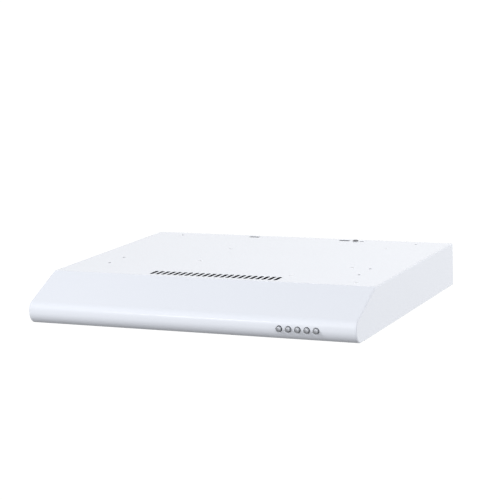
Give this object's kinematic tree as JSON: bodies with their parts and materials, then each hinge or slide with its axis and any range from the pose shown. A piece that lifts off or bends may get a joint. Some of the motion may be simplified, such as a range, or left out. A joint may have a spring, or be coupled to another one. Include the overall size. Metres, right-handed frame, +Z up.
{
  "type": "under cabinet range hood",
  "caption": "Slim white hood for the underside of a wall cabinet, with rounded nose, top air vents, push buttons, hinged grease filters and a recirculating fan.",
  "frame": {"origin": "on the flat top face, at the middle of the four outer cabinet screw holes", "axes": "+X to the hood's right as seen from the front, +Y towards the wall, +Z up; the nose with the buttons faces -Y"},
  "size_m": [0.6, 0.5146, 0.0788],
  "materials": {
    "white_paint": "gloss white stove enamel on folded steel sheet",
    "galvanised": "bare galvanised steel sheet, dull spangle",
    "chrome": "bright chrome plated button caps",
    "aluminium": "plain mill finish aluminium",
    "black_plastic": "fine textured black moulding",
    "grey_plastic": "mid grey moulding, slightly glossy",
    "white_plastic": "white moulded plastic",
    "wire_sleeve": "white sleeving over a bundle of wires",
    "frosted_lens": "frosted translucent moulding",
    "lamp_glass": "clear tubular lamp glass with a metal screw cap",
    "carbon_foam": "open black foam loaded with carbon",
    "rubber": "black rubber bushing",
    "zinc_steel": "zinc plated steel"
  },
  "bodies": {
    "hood_body": {"top_front_skin": "white_paint", "left_side_panel": "white_paint", "right_side_panel": "white_paint", "rear_panel": "white_paint", "front_tray": "white_paint", "rear_filter_rail": "galvanised", "centre_rib": "galvanised", "motor_bracket": "galvanised", "capacitor_clip": "galvanised", "switch_bracket": "galvanised", "outlet_plenum": "black_plastic", "inlet_guard": "black_plastic", "terminal_box": "black_plastic", "terminal_box_lid": "black_plastic", "switch_block": "black_plastic", "fan_volute": "grey_plastic", "fan_inlet_plate": "grey_plastic", "motor_capacitor": "white_plastic", "terminal_block": "white_plastic", "loom_clip": "white_plastic", "lamp_holder_left": "white_plastic", "lamp_holder_right": "white_plastic", "wiring_loom": "wire_sleeve", "lamp_lens_left": "frosted_lens", "lamp_lens_right": "frosted_lens", "lamp_bulb_left": "lamp_glass", "lamp_bulb_right": "lamp_glass", "cable_gland": "rubber", "fan_motor": "zinc_steel", "capacitor_screw": "zinc_steel", "terminal_box_screw": "zinc_steel", "loom_clip_screw": "zinc_steel", "fan_screw_front_left": "zinc_steel", "fan_screw_rear_left": "zinc_steel", "fan_screw_front_right": "zinc_steel", "button_spring_off": "zinc_steel", "button_spring_speed_1": "zinc_steel", "button_spring_speed_2": "zinc_steel", "button_spring_speed_3": "zinc_steel", "button_spring_lamp": "zinc_steel"},
    "fan_rotor": {"fan_shaft": "zinc_steel", "fan_wheel": "black_plastic", "wheel_nut": "zinc_steel"},
    "left_filter": {"left_filter_frame": "aluminium", "left_filter_mesh": "aluminium", "left_carbon_pad": "carbon_foam", "left_pad_wire": "zinc_steel", "left_latch_spring": "zinc_steel"},
    "right_filter": {"right_filter_frame": "aluminium", "right_filter_mesh": "aluminium", "right_carbon_pad": "carbon_foam", "right_pad_wire": "zinc_steel", "right_latch_spring": "zinc_steel"},
    "left_latch": {"left_filter_latch": "black_plastic"},
    "right_latch": {"right_filter_latch": "black_plastic"},
    "off_button": {"button_off": "chrome"},
    "speed_1_button": {"button_speed_1": "chrome"},
    "speed_2_button": {"button_speed_2": "chrome"},
    "speed_3_button": {"button_speed_3": "chrome"},
    "lamp_button": {"button_lamp": "chrome"}
  },
  "joints": [
    {"name": "fan_spin", "type": "hinge", "parent": "hood_body", "child": "fan_rotor", "pos_m": [0, -0.0325, -0.027], "axis": [0, 0, 1], "continuous": true},
    {"name": "left_filter_swing", "type": "hinge", "parent": "hood_body", "child": "left_filter", "pos_m": [-0.14225, 0.156, -0.0735], "axis": [1, 0, 0], "range_deg": [0, 60]},
    {"name": "left_latch_slide", "type": "slide", "parent": "left_filter", "child": "left_latch", "axis": [0, 1, 0], "range_m": [0, 0.006], "stiffness_N_per_m": 500, "springref_m": -0.004, "deforming": ["left_latch_spring"]},
    {"name": "right_filter_swing", "type": "hinge", "parent": "hood_body", "child": "right_filter", "pos_m": [0.14225, 0.156, -0.0735], "axis": [1, 0, 0], "range_deg": [0, 60]},
    {"name": "right_latch_slide", "type": "slide", "parent": "right_filter", "child": "right_latch", "axis": [0, 1, 0], "range_m": [0, 0.006], "stiffness_N_per_m": 500, "springref_m": -0.004, "deforming": ["right_latch_spring"]},
    {"name": "off_button_press", "type": "slide", "parent": "hood_body", "child": "off_button", "axis": [0, 1, 0], "range_m": [0, 0.0035], "stiffness_N_per_m": 600, "springref_m": -0.002, "deforming": ["button_spring_off"]},
    {"name": "speed_1_button_press", "type": "slide", "parent": "hood_body", "child": "speed_1_button", "axis": [0, 1, 0], "range_m": [0, 0.0035], "stiffness_N_per_m": 600, "springref_m": -0.002, "deforming": ["button_spring_speed_1"]},
    {"name": "speed_2_button_press", "type": "slide", "parent": "hood_body", "child": "speed_2_button", "axis": [0, 1, 0], "range_m": [0, 0.0035], "stiffness_N_per_m": 600, "springref_m": -0.002, "deforming": ["button_spring_speed_2"]},
    {"name": "speed_3_button_press", "type": "slide", "parent": "hood_body", "child": "speed_3_button", "axis": [0, 1, 0], "range_m": [0, 0.0035], "stiffness_N_per_m": 600, "springref_m": -0.002, "deforming": ["button_spring_speed_3"]},
    {"name": "lamp_button_press", "type": "slide", "parent": "hood_body", "child": "lamp_button", "axis": [0, 1, 0], "range_m": [0, 0.0035], "stiffness_N_per_m": 600, "springref_m": -0.002, "deforming": ["button_spring_lamp"]}
  ]
}
